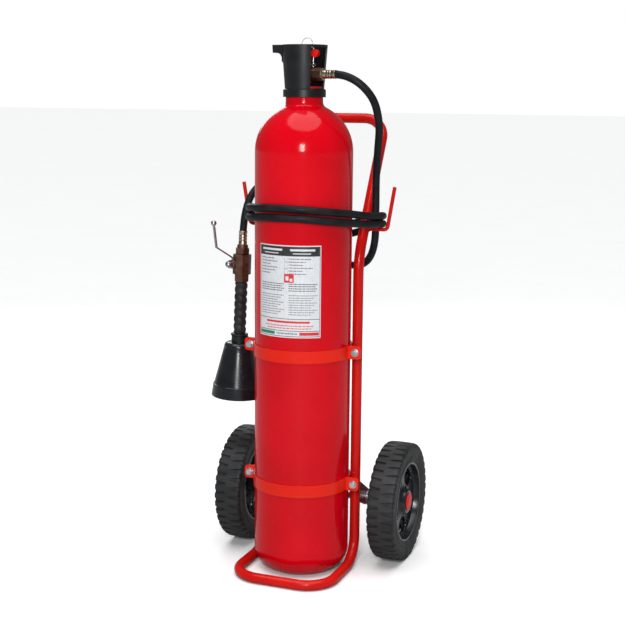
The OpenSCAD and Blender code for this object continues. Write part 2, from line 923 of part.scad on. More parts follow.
cylinder_shell();  // cylinder
neck_ring();
dip_tube();
valve_body();
gland_nut();
lever_bracket();
lever_pivot_pin();
operating_lever();
valve_stem();
poppet_seal();
valve_spring();
burst_disc_plug();
safety_pin();
pull_ring();
valve_guard();
outlet_adapter();
hose_nut();
hose_ferrule_top();
hose();
hose_ferrule_end();
shutoff_inlet_nut();
shutoff_body();
shutoff_outlet_nut();
ball_seats();
shutoff_ball();
shutoff_lever();
lever_knob();
lever_cap_nut();
lance_grip();
orifice_plug();
horn_collar();
discharge_horn();
horn_holder();
rail_left();
rail_right();
handle_loop();
base_loop();
axle_plates();
axle();
axle_spacers();
axle_washers();
saddle_upper();
saddle_lower();
band_upper();
band_lower();
band_bolts();
band_washers();
band_nuts();
hose_hook_left();
hose_hook_right();
label();
tyre_left();
tyre_right();
rim_left();
rim_right();
bush_left();
bush_right();
hub_cap_left();
hub_cap_right();
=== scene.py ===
"""Looks of a wheeled carbon dioxide fire extinguisher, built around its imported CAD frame."""

import json
import math

import bpy
from mathutils import Matrix, Vector, noise


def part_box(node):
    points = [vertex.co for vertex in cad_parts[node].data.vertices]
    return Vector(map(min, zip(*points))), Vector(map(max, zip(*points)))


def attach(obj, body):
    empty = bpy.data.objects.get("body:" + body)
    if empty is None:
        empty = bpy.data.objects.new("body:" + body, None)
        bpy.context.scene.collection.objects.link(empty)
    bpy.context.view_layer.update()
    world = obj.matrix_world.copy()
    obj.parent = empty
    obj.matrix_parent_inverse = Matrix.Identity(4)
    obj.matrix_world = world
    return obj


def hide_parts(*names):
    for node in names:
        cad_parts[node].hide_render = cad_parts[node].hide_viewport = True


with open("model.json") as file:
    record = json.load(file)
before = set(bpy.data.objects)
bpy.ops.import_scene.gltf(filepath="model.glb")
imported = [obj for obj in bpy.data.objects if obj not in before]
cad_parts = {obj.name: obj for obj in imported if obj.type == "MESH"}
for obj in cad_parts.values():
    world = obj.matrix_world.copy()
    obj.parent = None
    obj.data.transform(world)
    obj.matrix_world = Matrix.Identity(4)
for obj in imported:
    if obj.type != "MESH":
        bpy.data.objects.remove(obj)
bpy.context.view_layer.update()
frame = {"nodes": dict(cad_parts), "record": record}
MM = 0.001

bpy.context.scene.view_settings.view_transform = "Standard"


def at(x, y, z):
    """A point given in millimetres."""
    return Vector((x, y, z)) * MM


# ---------- camera ----------


def add_camera():
    data = bpy.data.cameras.new("camera")
    data.lens = 71.4
    data.sensor_width = 36.0
    camera = bpy.data.objects.new("camera", data)
    turn = Matrix.Rotation(math.radians(21.35), 4, "Z")
    pitch = Matrix.Rotation(math.radians(79.93), 4, "X")
    roll = Matrix.Rotation(math.radians(0.496), 4, "Z")
    camera.matrix_world = Matrix.Translation((0.9601, -2.4003, 1.0188)) @ turn @ pitch @ roll
    bpy.context.scene.collection.objects.link(camera)
    bpy.context.scene.camera = camera


add_camera()


# ---------- materials ----------


class Look:
    """A procedural material: one Principled shader and the nodes that vary it over the surface."""

    def __init__(self, name, metallic=0.0, **sockets):
        self.material = bpy.data.materials.new(name)
        self.material.use_nodes = True
        self.tree = self.material.node_tree
        self.shader = self.tree.nodes["Principled BSDF"]
        self.shader.inputs["Metallic"].default_value = metallic
        for socket, value in sockets.items():
            self.shader.inputs[socket.replace("_", " ")].default_value = value
        self.place = self.add("ShaderNodeTexCoord").outputs["Object"]

    def add(self, kind, **settings):
        node = self.tree.nodes.new(kind)
        for key, value in settings.items():
            setattr(node, key, value)
        return node

    def link(self, source, target):
        self.tree.links.new(source, target)

    def stretched(self, scale):
        node = self.add("ShaderNodeMapping")
        node.inputs["Scale"].default_value = scale
        self.link(self.place, node.inputs["Vector"])
        return node.outputs["Vector"]

    def noise(self, scale, detail=3.0, vector=None, rough=0.5):
        node = self.add("ShaderNodeTexNoise")
        node.inputs["Scale"].default_value = scale
        node.inputs["Detail"].default_value = detail
        node.inputs["Roughness"].default_value = rough
        self.link(vector or self.place, node.inputs["Vector"])
        return node.outputs["Fac"]

    def ramp(self, factor, stops):
        node = self.add("ShaderNodeValToRGB")
        points = node.color_ramp.elements
        while len(points) < len(stops):
            points.new(0.5)
        for point, (position, colour) in zip(points, stops):
            point.position = position
            point.color = (*colour, 1.0) if hasattr(colour, "__len__") else (colour,) * 3 + (1.0,)
        self.link(factor, node.inputs["Fac"])
        return node.outputs["Color"]

    def mix(self, factor, first, second, mode="MIX"):
        node = self.add("ShaderNodeMix", data_type="RGBA", blend_type=mode)
        for value, socket in ((factor, node.inputs[0]), (first, node.inputs[6]), (second, node.inputs[7])):
            if isinstance(value, bpy.types.NodeSocket):
                self.link(value, socket)
            elif hasattr(value, "__len__"):
                socket.default_value = (*value, 1.0)
            else:
                socket.default_value = value
        return node.outputs[2]

    def sum_of(self, first, second, share):
        """first + share * second."""
        node = self.add("ShaderNodeMath", operation="MULTIPLY_ADD")
        self.link(second, node.inputs[0])
        node.inputs[1].default_value = share
        self.link(first, node.inputs[2])
        return node.outputs[0]

    def colour(self, source):
        self.link(source, self.shader.inputs["Base Color"])

    def roughness(self, factor, low, high):
        node = self.add("ShaderNodeMapRange")
        node.inputs["From Min"].default_value = 0.3
        node.inputs["From Max"].default_value = 0.7
        node.inputs["To Min"].default_value = low
        node.inputs["To Max"].default_value = high
        self.link(factor, node.inputs["Value"])
        self.link(node.outputs["Result"], self.shader.inputs["Roughness"])

    def relief(self, height, depth, edge=0.0):
        """Fine relief of a given depth in metres, over edges that are rounded by a given radius."""
        bump = self.add("ShaderNodeBump")
        bump.inputs["Strength"].default_value = 1.0
        bump.inputs["Distance"].default_value = depth
        self.link(height, bump.inputs["Height"])
        if edge:
            bevel = self.add("ShaderNodeBevel", samples=4)
            bevel.inputs["Radius"].default_value = edge
            self.link(bevel.outputs["Normal"], bump.inputs["Normal"])
        self.link(bump.outputs["Normal"], self.shader.inputs["Normal"])


def enamel(name, deep, bright, gloss=(0.10, 0.2), edge=0.0008, peel=0.00004):
    """Sprayed gloss paint: faint cloudiness, orange peel, and specks and smudges of dust."""
    look = Look(name, Coat_Weight=0.12, Coat_Roughness=0.04)
    look.shader.inputs["Specular IOR Level"].default_value = 0.12
    cloud = look.noise(6.0, 2.0)
    paint = look.ramp(cloud, [(0.35, deep), (0.65, bright)])
    specks = look.ramp(look.noise(420.0, 1.0), [(0.72, 0.0), (0.80, 1.0)])
    dusty = tuple(0.75 * c + 0.05 for c in deep)
    look.colour(look.mix(look.ramp(look.noise(35.0, 6.0, rough=0.7), [(0.62, 0.0), (0.9, 0.35)]),
                         look.mix(specks, paint, dusty), dusty))
    look.roughness(look.noise(18.0, 5.0), *gloss)
    look.relief(look.sum_of(look.noise(240.0, 2.0), look.noise(9.0, 2.0), 6.0), peel, edge)
    return look.material


def moulded(name, dark, light, gloss, grain=900.0, depth=0.00004, edge=0.0006, coat=0.0):
    """Moulded plastic or rubber: fine pebbled skin, faint flow marks and handling marks."""
    look = Look(name, Coat_Weight=coat, Coat_Roughness=0.15)
    look.shader.inputs["Specular IOR Level"].default_value = 0.3
    flow = look.noise(14.0, 4.0, look.stretched((1.0, 1.0, 3.0)))
    scuffs = look.ramp(look.noise(60.0, 8.0, rough=0.75), [(0.60, 0.0), (0.78, 1.0)])
    skin = look.ramp(flow, [(0.35, dark), (0.7, light)])
    worn = tuple(min(1.0, 1.5 * c + 0.012) for c in light)
    look.colour(look.mix(scuffs, skin, worn))
    look.roughness(look.noise(30.0, 5.0), *gloss)
    look.relief(look.sum_of(look.noise(grain, 2.0), look.noise(25.0, 3.0), 2.0), depth, edge)
    return look.material


def metal(name, dark, light, gloss, grain=(1.0, 1.0, 1.0), scale=500.0, depth=0.00002, edge=0.0005):
    """Bare or plated metal: tarnish blotches, a tooling grain that may be stretched one way."""
    look = Look(name, metallic=1.0)
    tarnish = look.noise(45.0, 5.0, rough=0.6)
    lines = look.noise(scale, 3.0, look.stretched(grain))
    tone = look.ramp(tarnish, [(0.35, dark), (0.66, light)])
    streak = look.ramp(lines, [(0.3, 0.82), (0.7, 1.0)])
    look.colour(look.mix(1.0, tone, streak, "MULTIPLY"))
    look.roughness(look.sum_of(lines, tarnish, 0.3), *gloss)
    look.relief(lines, depth, edge)
    return look.material


def hose_skin():
    """Smooth rubber hose with a faint wrapped-cloth mark: u runs round it and v along it, in metres."""
    look = Look("hose_skin", Coat_Weight=0.02)
    look.shader.inputs["Specular IOR Level"].default_value = 0.1
    look.place = look.add("ShaderNodeTexCoord").outputs["UV"]
    wrap = look.add("ShaderNodeTexWave", wave_type="BANDS", bands_direction="DIAGONAL")
    wrap.inputs["Scale"].default_value = 260.0
    wrap.inputs["Distortion"].default_value = 1.2
    look.link(look.place, wrap.inputs["Vector"])
    blotch = look.noise(40.0, 5.0)
    skin = look.ramp(blotch, [(0.3, (0.007, 0.0075, 0.009)), (0.7, (0.014, 0.015, 0.018))])
    dust = look.ramp(look.noise(300.0, 6.0, rough=0.8), [(0.58, 0.0), (0.85, 0.5)])
    look.colour(look.mix(dust, skin, (0.04, 0.041, 0.043)))
    look.roughness(blotch, 0.38, 0.55)
    look.relief(look.sum_of(look.noise(900.0, 2.0), wrap.outputs["Fac"], 0.7), 0.00006)
    return look.material


def floor_look():
    """Studio floor: white to look at, greyer in the light it throws back on the object."""
    look = Look("floor_look")
    pale = look.ramp(look.noise(3.0, 4.0), [(0.3, (0.95, 0.95, 0.955)), (0.7, (0.965, 0.965, 0.965))])
    seen = look.add("ShaderNodeLightPath").outputs["Is Camera Ray"]
    look.colour(look.mix(seen, (0.46, 0.46, 0.465), pale))
    look.roughness(look.noise(40.0, 4.0), 0.55, 0.75)
    return look.material


def printed(name, ink, faded):
    """Ink on film, a little uneven."""
    look = Look(name, Coat_Weight=0.3, Coat_Roughness=0.25)
    look.colour(look.ramp(look.noise(180.0, 5.0), [(0.35, ink), (0.72, faded)]))
    look.roughness(look.noise(70.0, 4.0), 0.28, 0.42)
    look.relief(look.noise(700.0, 2.0), 0.00001)
    return look.material


LOOKS = {
    "red_paint": enamel("cylinder_enamel", (0.50, 0.000, 0.005), (0.60, 0.001, 0.008)),
    "frame_paint": enamel("frame_enamel", (0.46, 0.005, 0.004), (0.56, 0.009, 0.006), (0.16, 0.28)),
    "band_paint": enamel("band_enamel", (0.64, 0.012, 0.004), (0.74, 0.019, 0.006), (0.18, 0.32)),
    # Bracket plates: the frame's red enamel darkened to about a fifth. The darkening is painted shade for the
    # shadow they sit in between wheel and cylinder.
    "dark_red_paint": enamel("plate_enamel_painted_shade", (0.10, 0.002, 0.002), (0.15, 0.004, 0.003), (0.3, 0.45)),
    "red_plastic": moulded("red_moulding", (0.60, 0.004, 0.004), (0.72, 0.008, 0.008), (0.30, 0.44),
                            coat=0.05),
    "zinc_steel": metal("zinc_plating", (0.42, 0.43, 0.44), (0.66, 0.67, 0.68), (0.2, 0.38)),
    "bronze": metal("cast_bronze", (0.10, 0.048, 0.033), (0.22, 0.118, 0.082), (0.34, 0.52), depth=0.00008,
                    scale=260.0, edge=0.0008),
    "brass": metal("turned_brass", (0.34, 0.28, 0.21), (0.60, 0.50, 0.38), (0.18, 0.34), (1.0, 1.0, 6.0)),
    "chrome": metal("bright_plating", (0.34, 0.345, 0.35), (0.56, 0.565, 0.57), (0.20, 0.34), depth=0.000006),
    "black_plastic": moulded("black_moulding", (0.005, 0.0055, 0.007), (0.010, 0.0105, 0.013), (0.32, 0.46)),
    "black_gloss": moulded("gloss_moulding", (0.006, 0.007, 0.009), (0.013, 0.014, 0.017), (0.16, 0.30),
                           depth=0.00005, coat=0.25),
    "rubber": moulded("grip_rubber", (0.012, 0.012, 0.013), (0.026, 0.026, 0.028), (0.42, 0.62)),
    "tyre": moulded("tyre_rubber", (0.014, 0.015, 0.016), (0.030, 0.031, 0.033), (0.48, 0.68), grain=600.0,
                    depth=0.0001),
    "label_film": printed("label_white", (0.58, 0.60, 0.63), (0.66, 0.68, 0.70)),
    "white_plastic": moulded("seat_plastic", (0.74, 0.74, 0.72), (0.82, 0.82, 0.80), (0.3, 0.4)),
    "hose_rubber": hose_skin(),
}
INKS = {
    "black_ink": printed("ink_black", (0.010, 0.011, 0.013), (0.022, 0.023, 0.026)),
    "grey_ink": printed("ink_grey", (0.10, 0.105, 0.115), (0.20, 0.205, 0.22)),
    "red_ink": printed("ink_red", (0.58, 0.010, 0.012), (0.66, 0.02, 0.02)),
    "green_ink": printed("ink_green", (0.004, 0.16, 0.07), (0.010, 0.20, 0.09)),
}
FRAME_PAINTED = {
    "rail_left", "rail_right", "handle_loop", "base_loop", "saddle_upper", "saddle_lower",
    "hose_hook_left", "hose_hook_right", "neck_ring",
}


def paint_nodes():
    """Gives every CAD node the look of its slot, or the trolley's own paint."""
    slots = {row["node"]: row["material_slot"] for row in frame["record"]["subparts"]}
    for name, node in frame["nodes"].items():
        look = LOOKS["frame_paint" if name in FRAME_PAINTED else slots[name]]
        node.data.materials.clear()
        node.data.materials.append(look)


paint_nodes()


# ---------- mesh helpers ----------


def piece(name, points, faces, look, slot, body="root", replaces=(), sharp=32.0, uvs=None):
    """Makes a mesh piece in the shared frame, riding on a body and standing for CAD nodes."""
    mesh = bpy.data.meshes.new(name)
    mesh.from_pydata([tuple(p) for p in points], [], faces)
    mesh.update()
    if uvs:
        layer = mesh.uv_layers.new(name="along")
        for polygon in mesh.polygons:
            for loop, corner in zip(polygon.loop_indices, uvs[polygon.index]):
                layer.data[loop].uv = corner
    mesh.shade_smooth()
    mesh.set_sharp_from_angle(angle=math.radians(sharp))
    mesh.materials.append(look)
    made = bpy.data.objects.new(name, mesh)
    bpy.context.scene.collection.objects.link(made)
    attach(made, body)
    if replaces:
        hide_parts(*replaces)
    return made


def grid_faces(rows, columns, close_rows=False, close_columns=True, first=0):
    """Quads of a grid of points, stored row after row."""
    faces = []
    for i in range(rows if close_rows else rows - 1):
        for k in range(columns if close_columns else columns - 1):
            a, b = i * columns, ((i + 1) % rows) * columns
            n = (k + 1) % columns
            faces.append((first + a + k, first + a + n, first + b + n, first + b + k))
    return faces


class Build:
    """Collects several closed shapes into one piece."""

    def __init__(self):
        self.points, self.faces = [], []

    def take(self, points, faces, place=Matrix.Identity(4)):
        first = len(self.points)
        self.points += [place @ Vector(p) for p in points]
        self.faces += [tuple(first + i for i in face) for face in faces]
        return self

    def lathe(self, outline, place=Matrix.Identity(4), steps=96):
        """Turns a closed outline of (radius, height) in millimetres round Z. Radius 0 ends make a solid."""
        rings = [
            [at(r * math.cos(a), r * math.sin(a), z) for a in (math.tau * k / steps for k in range(steps))]
            for r, z in outline
        ]
        solid = outline[0][0] == 0 and outline[-1][0] == 0
        if solid:
            rings = rings[1:-1]
        points = [p for ring in rings for p in ring]
        faces = grid_faces(len(rings), steps, close_rows=not solid)
        if solid:
            low, high, last = len(points), len(points) + 1, (len(rings) - 1) * steps
            points += [at(0, 0, outline[0][1]), at(0, 0, outline[-1][1])]
            for k in range(steps):
                n = (k + 1) % steps
                faces += [(low, n, k), (high, last + k, last + n)]
        return self.take(points, faces, place)

    def hexagon(self, across, low, high, bore, place=Matrix.Identity(4), chamfer=0.12):
        """A hexagonal nut or head with chamfered corners, and a bore if its radius isn't 0."""
        steps, half = 72, across / 2
        drop = across * chamfer * 0.5
        inner = half * 0.96
        rings = []
        for level, side in ((low, 1), (low, 0), (high, 0), (high, 1)):
            ring = []
            for k in range(steps):
                a = math.tau * k / steps
                flat = half / math.cos((a % (math.pi / 3)) - math.pi / 6)
                r = inner if side else flat
                cut = 0 if side else drop * (flat - inner) / (half * 1.1547 - inner)
                ring.append(at(r * math.cos(a), r * math.sin(a), level + (cut if level == low else -cut)))
            rings.append(ring)
        bore_r = max(bore, 0.01)
        circle = [(bore_r * math.cos(math.tau * k / steps), bore_r * math.sin(math.tau * k / steps))
                  for k in range(steps)]
        rings = [[at(x, y, low) for x, y in circle]] + rings + [[at(x, y, high) for x, y in circle]]
        points = [p for ring in rings for p in ring]
        return self.take(points, grid_faces(len(rings), steps, close_rows=True), place)

    def sweep(self, path, radius, sides=24, closed=False, capped=True):
        """A round tube along a path in metres. Its sides are carried without twist."""
        ends = len(path)
        steps = [
            (path[(i + 1) % ends] - path[i - 1]) if closed
            else (path[min(i + 1, ends - 1)] - path[max(i - 1, 0)])
            for i in range(ends)
        ]
        steps = [s.normalized() for s in steps]
        side = steps[0].orthogonal().normalized()
        carried = []
        for step in steps:
            side = (side - step * side.dot(step)).normalized()
            carried.append(side)
        twist = 0.0
        if closed:
            back = (carried[-1] - steps[0] * carried[-1].dot(steps[0])).normalized()
            twist = math.atan2(steps[0].dot(back.cross(carried[0])), back.dot(carried[0]))
        points = []
        for i, (p, step, side) in enumerate(zip(path, steps, carried)):
            across = step.cross(side)
            width = radius(i / (ends - 1)) if callable(radius) else radius
            for k in range(sides):
                a = math.tau * k / sides + twist * i / ends
                points.append(p + width * (math.cos(a) * side + math.sin(a) * across))
        faces = grid_faces(ends, sides, close_rows=closed)
        if capped and not closed:
            faces.append(tuple(range(sides))[::-1])
            faces.append(tuple((ends - 1) * sides + k for k in range(sides)))
        return self.take(points, faces)

    def piece(self, name, look, slot, **more):
        return piece(name, self.points, self.faces, LOOKS.get(look) or INKS[look], slot, **more)


def arc(cx, cz, radius, start, end, count=8):
    """Points (x, z) of an arc, its angles in degrees."""
    return [
        (cx + radius * math.cos(math.radians(start + (end - start) * k / count)),
         cz + radius * math.sin(math.radians(start + (end - start) * k / count)))
        for k in range(count + 1)
    ]


def rounded(corners, radii, closed=False, step=5.0):
    """A path through corner points in metres, each corner replaced by an arc of its own radius."""
    count = len(corners)
    path = []
    for i, (corner, radius) in enumerate(zip(corners, radii)):
        if not closed and i in (0, count - 1):
            path.append(corner.copy())
            continue
        before = (corners[i - 1] - corner).normalized()
        after = (corners[(i + 1) % count] - corner).normalized()
        turn = math.pi - before.angle(after)
        if turn < 1e-4 or radius == 0:
            path.append(corner.copy())
            continue
        reach = radius * math.tan(turn / 2)
        centre = corner + (before + after).normalized() * (radius / math.cos(turn / 2))
        start, end = corner + before * reach - centre, corner + after * reach - centre
        pieces = max(2, math.ceil(math.degrees(turn) / step))
        for k in range(pieces + 1):
            f = k / pieces
            swing = start * math.sin((1 - f) * turn) + end * math.sin(f * turn)
            path.append(centre + swing / math.sin(turn))
    return path


def lengths_along(points):
    """The distance from the first point to each point, along the path."""
    lengths = [0.0]
    for a, b in zip(points, points[1:]):
        lengths.append(lengths[-1] + (b - a).length)
    return lengths


def evenly(path, spacing, closed=False):
    """The same path with points at an even spacing."""
    points = path + [path[0]] if closed else path
    lengths = lengths_along(points)
    count = max(2, round(lengths[-1] / spacing))
    made, k = [], 0
    for i in range(count if closed else count + 1):
        s = lengths[-1] * i / count
        while k < len(points) - 2 and lengths[k + 1] < s:
            k += 1
        span = lengths[k + 1] - lengths[k] or 1.0
        made.append(points[k].lerp(points[k + 1], (s - lengths[k]) / span))
    return made


# ---------- hose ----------

HOSE_R = 8.0
OUTLET_ANGLE, OUTLET_Z = -12.0, 1055.0
HOSE_ROUTE = [
    (75, -16, 1055), (107, -19, 1049), (134, -13, 1030), (150, 1, 1004), (154, 17, 974),
    (152, 34, 945), (145, 50, 917), (138, 66, 888), (132, 80, 859), (128, 90, 828),
    (127, 94, 796), (127, 94, 760), (127, 95, 720), (122, 99, 692), (111, 108, 668),
    (92, 122, 653), (66, 138, 647), (34, 150, 647), (0, 155, 651), (-35, 156, 660),
    (-72, 151, 678), (-106, 138, 703), (-132, 113, 729), (-143, 80, 749.5), (-139, 43, 757),
    (-125, 3, 759), (-108, -37, 761), (-80.5, -80.5, 765), (-43.5, -105, 769), (0, -113.5, 770),
    (43.5, -105, 769), (80.5, -80.5, 764), (108, -37, 758), (125, 3, 753), (140, 43, 749),
    (146, 80, 747.5), (143.5, 97, 746), (136, 115, 743), (108, 143, 735), (70, 154, 720),
    (35, 156, 711), (0, 156, 709), (-35, 155, 715), (-70, 152, 727), (-107, 141, 742),
    (-133, 114, 757), (-143, 80, 768), (-139, 43, 775), (-125, 3, 778), (-108, -37, 781),
    (-80.5, -80.5, 785), (-43.5, -105, 788), (0, -113.5, 789), (43.5, -105, 787), (80.5, -80.5, 783),
    (108, -37, 777), (125, 3, 771), (140, 43, 766), (146, 80, 764.3), (143.5, 97, 762.5),
    (136, 115, 760), (108, 143, 753), (70, 154, 741), (35, 156, 735), (0, 155, 737),
    (-33, 156, 747), (-61, 165, 762), (-84, 171, 785), (-106, 162, 808), (-126, 141, 822),
    (-141, 112, 823), (-151, 86, 808), (-158, 68, 781), (-163, 61, 751), (-166, 60, 720),
]


def smooth_hose_path(spacing=0.004, passes=14, easing=150, tightest=0.067):
    """A smooth centreline near the route's points, relaxed all along and then more in its tightest bends."""
    knots = [at(*p) for p in HOSE_ROUTE]
    leave = Vector((math.cos(math.radians(OUTLET_ANGLE)), math.sin(math.radians(OUTLET_ANGLE)), 0))
    inside, between = 0.03, 10
    knots = [knots[0] - leave * inside] + knots + [knots[-1] * 2 - knots[-2]]
    curve = []
    for a, b, c, d in zip(knots, knots[1:], knots[2:], knots[3:]):
        for k in range(between):
            t = k / between
            curve.append(0.5 * (2 * b + (c - a) * t + (2 * a - 5 * b + 4 * c - d) * t * t
                                + (3 * b - a - 3 * c + d) * t ** 3))
    curve.append(knots[-2])
    path = evenly(curve, spacing)
    for _ in range(passes):
        path = [path[0]] + [
            (path[i - 1] + 2 * path[i] + path[i + 1]) / 4 for i in range(1, len(path) - 1)
        ] + [path[-1]]
    sharpest = spacing ** 2 / tightest
    for _ in range(easing):
        path = [path[0]] + [
            (a + 2 * b + c) / 4 if (a - 2 * b + c).length > sharpest else b
            for a, b, c in zip(path, path[1:], path[2:])
        ] + [path[-1]]
    return evenly(path, spacing)


def add_hose():
    path = smooth_hose_path()
    sides = 24
    tube = Build().sweep(path, HOSE_R * MM, sides)
    lengths = lengths_along(path)
    girth = math.tau * HOSE_R * MM
    uvs = [
        [(girth * u / sides, lengths[v]) for u, v in ((k, i), (k + 1, i), (k + 1, i + 1), (k, i + 1))]
        for i in range(len(path) - 1) for k in range(sides)
    ]
    caps = [[(path[0].x, path[0].y)] * sides] * 2
    hose = piece("hose_line", tube.points, tube.faces, LOOKS["hose_rubber"], "hose_rubber",
                 replaces=("hose",), uvs=uvs + caps)


add_hose()


# ---------- cylinder, neck and valve ----------

CYLINDER_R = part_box("cylinder")[1].x / MM
NECK_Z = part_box("cylinder")[1].z / MM
SHOULDER_Z = 897.0
NECK_R = 38.5
FOOT_R = 48.0


def add_cylinder():
    """Seamless cylinder: flat foot with a rounded edge, straight wall, domed shoulder and short neck."""
    blend = 12.0
    lift = math.sqrt((CYLINDER_R + blend) ** 2 - (NECK_R + blend) ** 2)
    dome_end = math.degrees(math.atan2(lift, NECK_R + blend))
    outline = [(0, 0), (30, 0)]
    outline += arc(CYLINDER_R - FOOT_R, FOOT_R, FOOT_R, -90, 0, 28)
    outline += [(CYLINDER_R, z) for z in range(100, 880, 60)]
    outline += arc(0, SHOULDER_Z, CYLINDER_R, 0, dome_end, 36)
    outline += arc(NECK_R + blend, SHOULDER_Z + lift, blend, dome_end + 180, 180, 8)[1:]
    outline += [(NECK_R, NECK_Z - 0.8), (NECK_R - 0.8, NECK_Z), (14.7, NECK_Z), (14.7, NECK_Z - 20),
                (0, NECK_Z - 20)]
    Build().lathe(outline, steps=192).piece("cylinder_skin", "red_paint", "red_paint", replaces=("cylinder",))


def outlet(distance=0.0):
    return (Matrix.Translation(at(0, 0, OUTLET_Z)) @ Matrix.Rotation(math.radians(OUTLET_ANGLE), 4, "Z")
            @ Matrix.Rotation(math.radians(90), 4, "Y") @ Matrix.Translation(at(0, 0, distance)))


def ferrule(build, place, length, outer, inner=4.5):
    """A crimped hose end: a rolled lip at each end and three shallow crimps."""
    outline = [(inner, 0), (outer - 0.6, 0), (outer, 0.6)]
    for crimp in range(3):
        middle = length * (0.3 + 0.2 * crimp)
        outline += [(outer, middle - 2.2), (outer - 0.5, middle - 1.4), (outer - 0.5, middle + 1.4),
                    (outer, middle + 2.2)]
    outline += [(outer, length - 0.6), (outer - 0.6, length), (inner, length)]
    return build.lathe(outline, place, 64)


def add_valve_fittings():
    hexes = Build()
    hexes.lathe([(4.5, 17), (9, 17), (9, 20.5), (4.5, 20.5)], outlet())
    hexes.hexagon(23, 20, 42, 4.5, outlet())
    hexes.piece("outlet_hexes", "bronze", "bronze", replaces=("outlet_adapter",))
    Build().hexagon(22, 42.05, 47, 4.5, outlet()).piece(
        "outlet_lock_nut", "brass", "brass", replaces=("hose_nut",))
    ferrule(Build(), outlet(47), 29.6, 9.0).piece(
        "ferrule_at_valve", "brass", "brass", replaces=("hose_ferrule_top",))


def add_pull_ring():
    """Split ring of two turns of wire, closed up against each other."""
    centre, radius, wire, turns, count = at(5.5, 0, 1116.5), 11.45, 0.52, 2, 144
    path = []
    for k in range(count + 1):
        a = math.tau * turns * k / count + 0.6
        slide = (k / count - 0.5) * 2 * wire
        path.append(centre + at(radius * math.cos(a), slide * 0.92, radius * math.sin(a)))
    Build().sweep(path, wire * MM, 14).piece("split_ring", "chrome", "chrome", body="retaining_pin",
                                             replaces=("pull_ring",))


add_cylinder()
add_valve_fittings()
add_pull_ring()


# ---------- lance and horn ----------

LANCE_TOP = at(-166, 60, 720)
LANCE_TILT = 2.3
FERRULE_DROP, INLET_DROP, STEM_DROP, GRIP_DROP, HORN_DROP = 31.0, 52.0, 74.0, 113.0, 249.0
STEM_TURN = 48.0


def lance(drop=0.0):
    """Place on the hanging lance, with +Z up along it and drop millimetres below its top end."""
    return (Matrix.Translation(LANCE_TOP) @ Matrix.Rotation(math.radians(LANCE_TILT), 4, "Y")
            @ Matrix.Translation(at(0, 0, -drop)))


def add_lance():
    ferrule(Build(), lance(FERRULE_DROP), 31, 9.3).piece(
        "ferrule_at_lance", "brass", "brass", replaces=("hose_ferrule_end",))
    top = Build().hexagon(28, 0, 14, 4.5, lance(INLET_DROP))
    top.lathe([(4.5, 14), (12, 14), (12, 20), (11, 21), (4.5, 21)], lance(INLET_DROP), 64)
    top.piece("inlet_union", "bronze", "bronze", replaces=("shutoff_inlet_nut",))
    Build().hexagon(29, 0, 17, 6, lance(GRIP_DROP)).piece(
        "outlet_union", "bronze", "bronze", replaces=("shutoff_outlet_nut",))


def add_grip():
    """Spiral-wound rubber grip: its ridge climbs one pitch each turn."""
    length, ridges, steps, rows = 116.0, 7, 64, 140
    valley, ridge, bore_r = 11.3, 2.9, 6.1
    rings = []
    for i in range(rows + 1):
        z = length * i / rows
        ring = []
        for k in range(steps):
            a = math.tau * k / steps
            wave = abs(math.sin(math.pi * (ridges * z / length + a / math.tau)))
            taper = min(1.0, i / 4, (rows - i) / 4)
            r = valley + ridge * wave ** 0.6 * taper
            ring.append(at(r * math.cos(a), r * math.sin(a), z))
        rings.append(ring)
    bore = [[at(bore_r * math.cos(math.tau * k / steps), bore_r * math.sin(math.tau * k / steps), z)
             for k in range(steps)] for z in (length, 0)]
    points = [p for ring in rings + bore for p in ring]
    faces = grid_faces(rows + 3, steps, close_rows=True)
    Build().take(points, faces, lance(GRIP_DROP + length)).piece(
        "spiral_grip", "rubber", "rubber", replaces=("lance_grip",), sharp=50.0)


def add_horn():
    """Bell horn with a moulded ridge above its mouth, hollow right through."""
    height, mouth, shoulder, wall, ridge = 122.0, 58.0, 33.0, 3.0, 26.0
    ridge_r = mouth - 3
    outline = [(mouth - wall, 0.6), (mouth - wall + 0.6, 0), (mouth - 0.8, 0), (mouth, 0.8)]
    outline += [(mouth - 3 * k / 5, 0.8 + (ridge - 1.6) * k / 5) for k in range(1, 5)]
    outline += arc(ridge_r - 1.0, ridge, 1.0, 0, 90, 4)
    outline += [(ridge_r - 1.9, ridge + 1.4)]
    top_z = height - 9
    for k in range(1, 9):
        across = ridge_r - 2 + (shoulder - ridge_r + 2) * k / 8
        outline.append((across, ridge + 1.4 + (top_z - ridge - 1.4) * k / 8))
    outline += arc(shoulder - 9, top_z, 9, 6, 88, 8)
    outline += [(17.6, height), (7.2, height), (7.2, height - 4), (shoulder - 12, height - 4)]
    outline += [(shoulder - wall, height - 12), (ridge_r - wall - 1, ridge)]
    Build().lathe(outline, lance(HORN_DROP + height), 144).piece(
        "bell_horn", "black_gloss", "black_gloss", replaces=("discharge_horn",), sharp=40.0)
    collar = [(9, 0), (17.5, 0), (17.5, 14)] + [(18.4, 15), (19.5, 15.6), (19.5, 18.4), (18.7, 19.2),
                                                (17.3, 19.6), (14.5, 20), (9, 20)]
    Build().lathe(collar, lance(HORN_DROP), 96).piece(
        "horn_socket", "black_plastic", "black_plastic", replaces=("horn_collar",))


